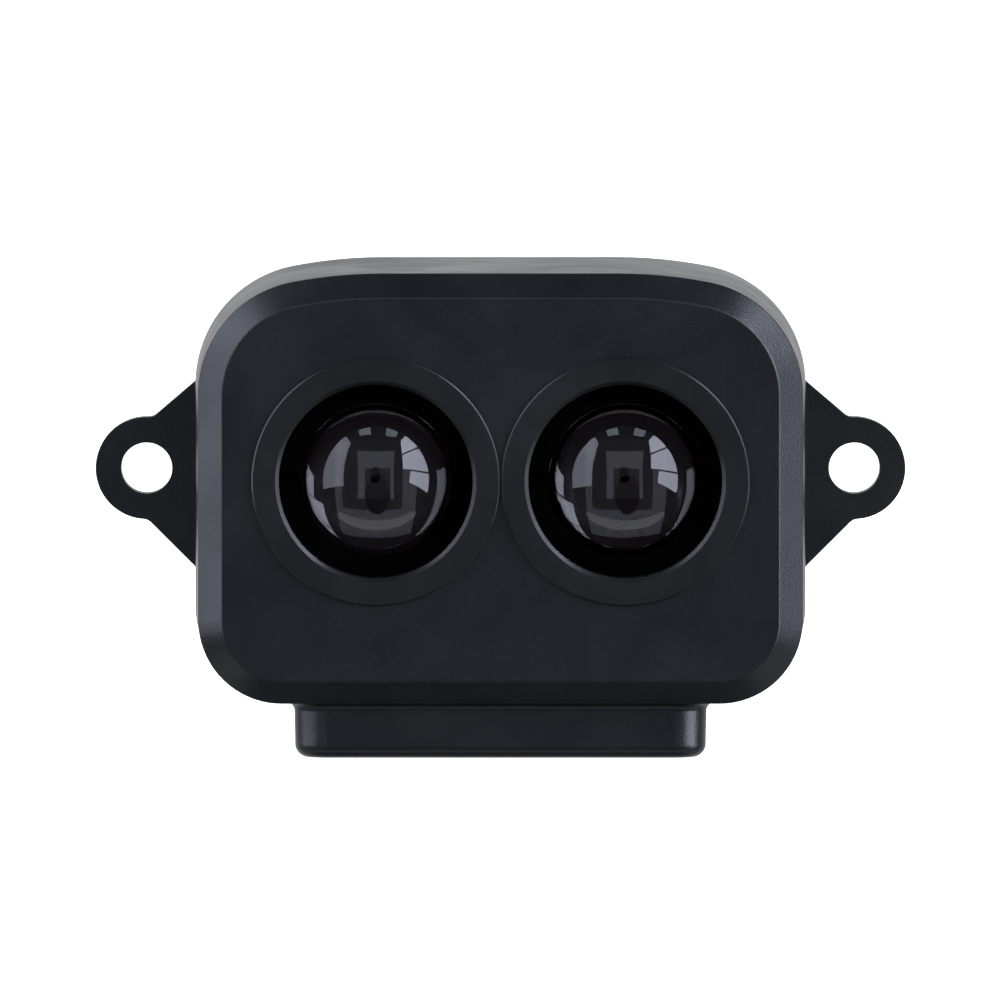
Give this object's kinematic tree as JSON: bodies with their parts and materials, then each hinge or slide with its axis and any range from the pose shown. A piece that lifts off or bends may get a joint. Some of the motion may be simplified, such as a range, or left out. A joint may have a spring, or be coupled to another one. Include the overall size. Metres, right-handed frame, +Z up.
{
  "type": "time-of-flight distance sensor",
  "caption": "Black optical distance sensor: bevelled housing, two convex lenses in round bezels, mounting ears at the back and a cable socket block below.",
  "frame": {"origin": "midway between the two mounting holes, on the rear face that lies on the mounting surface", "axes": "-Y is the way the lenses look, +Z is up, X runs from ear to ear"},
  "size_m": [0.069, 0.026, 0.0415],
  "materials": {
    "housing_plastic": "moulded, fine matt grain",
    "bench_plastic": "moulded, dull black",
    "lens_acrylic": "polished clear lens",
    "filter_glass": "dark red filter glass",
    "seal_rubber": "moulded silicone",
    "thermal_rubber": "soft grey pad",
    "screw_steel": "zinc plated",
    "board_laminate": "green solder mask",
    "chip_epoxy": "moulded epoxy",
    "shield_tin": "tinned steel",
    "capacitor_ceramic": "fired ceramic",
    "pin_brass": "gold flashed",
    "socket_plastic": "natural nylon",
    "label_paper": "matt blank label"
  },
  "bodies": {
    "root": {"front_housing": "housing_plastic", "rear_cover": "housing_plastic", "emitter_bezel": "housing_plastic", "receiver_bezel": "housing_plastic", "optical_bench": "bench_plastic", "emitter_retainer": "bench_plastic", "receiver_retainer": "bench_plastic", "emitter_lens": "lens_acrylic", "receiver_lens": "lens_acrylic", "bandpass_filter": "filter_glass", "cover_gasket": "seal_rubber", "emitter_lens_seal": "seal_rubber", "receiver_lens_seal": "seal_rubber", "front_gasket": "seal_rubber", "socket_seal": "seal_rubber", "thermal_pad": "thermal_rubber", "cover_screws": "screw_steel", "bench_screws": "screw_steel", "board_screws": "screw_steel", "sensor_board_screws": "screw_steel", "main_board": "board_laminate", "emitter_board": "board_laminate", "receiver_board": "board_laminate", "processor": "chip_epoxy", "timing_chip": "chip_epoxy", "driver_chip": "chip_epoxy", "power_inductor": "chip_epoxy", "photodiode": "chip_epoxy", "emitter_diode": "chip_epoxy", "receiver_shield": "shield_tin", "crystal": "shield_tin", "capacitors": "capacitor_ceramic", "board_pins": "pin_brass", "socket_contacts": "pin_brass", "cable_socket": "socket_plastic", "emitter_header": "socket_plastic", "receiver_header": "socket_plastic", "rear_label": "label_paper"}
  },
  "joints": []
}
